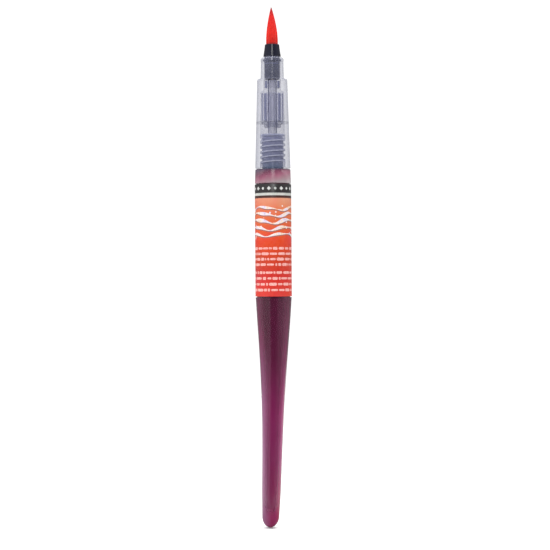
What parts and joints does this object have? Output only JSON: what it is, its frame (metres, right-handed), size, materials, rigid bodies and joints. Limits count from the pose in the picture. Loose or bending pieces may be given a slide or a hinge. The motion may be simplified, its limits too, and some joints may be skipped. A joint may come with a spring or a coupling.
{
  "type": "brush pen",
  "caption": "Squeeze-barrel brush pen with a pointed filament tuft, a clear screw-on front section and a tapered translucent ink barrel.",
  "frame": {"origin": "on the pen's axis, level with the rounded end of the tail", "axes": "+Z runs from the tail to the tip of the brush; +X is to the right when the pen is seen from the front with the brush up, and the tail bows towards -X; +Y points to the back"},
  "size_m": [0.0114, 0.0114, 0.1625],
  "materials": {
    "barrel_plastic": "smooth translucent soft plastic, tinted wine red by the ink behind it",
    "ink": "wet",
    "label": "printed film, satin",
    "frosted_plastic": "frosted, bluish grey",
    "seal_rubber": "soft, pale",
    "clear_plastic": "clear, slightly smoky",
    "wick_fibre": "porous fibre, stained by ink",
    "black_plastic": "glossy black",
    "fused_filament": "fused filament ends",
    "filament": "fine red-dyed synthetic filaments"
  },
  "bodies": {
    "barrel": {"reservoir_barrel": "barrel_plastic", "ink_fill": "ink", "label_film": "label", "mouth_plug": "frosted_plastic"},
    "seal": {"neck_seal": "seal_rubber"},
    "section": {"front_section": "clear_plastic", "regulator_cup": "frosted_plastic", "regulator_core": "frosted_plastic", "stop_disc": "frosted_plastic", "tube_bushing": "frosted_plastic", "feed_tube": "frosted_plastic", "feed_wick": "wick_fibre", "tuft_collar": "black_plastic", "tuft_root": "fused_filament"},
    "tuft": {"bristle_tuft": "filament"}
  },
  "joints": [
    {"name": "section_lift", "type": "slide", "parent": "barrel", "child": "seal", "axis": [0, 0, 1], "range_m": [0, 0.0096]},
    {"name": "section_turn", "type": "hinge", "parent": "seal", "child": "section", "pos_m": [0, 0, 0.112], "axis": [0, 0, 1], "range_deg": [0, 2160]},
    {"name": "tuft_bend", "type": "hinge", "parent": "section", "child": "tuft", "pos_m": [0, 0, 0.1512], "axis": [0, 1, 0], "range_deg": [-30, 30], "stiffness_Nm_per_rad": 0.00025}
  ],
  "couplings": [
    {"joint": "section_turn", "follows": "section_lift", "rad_per_m": 3927}
  ]
}
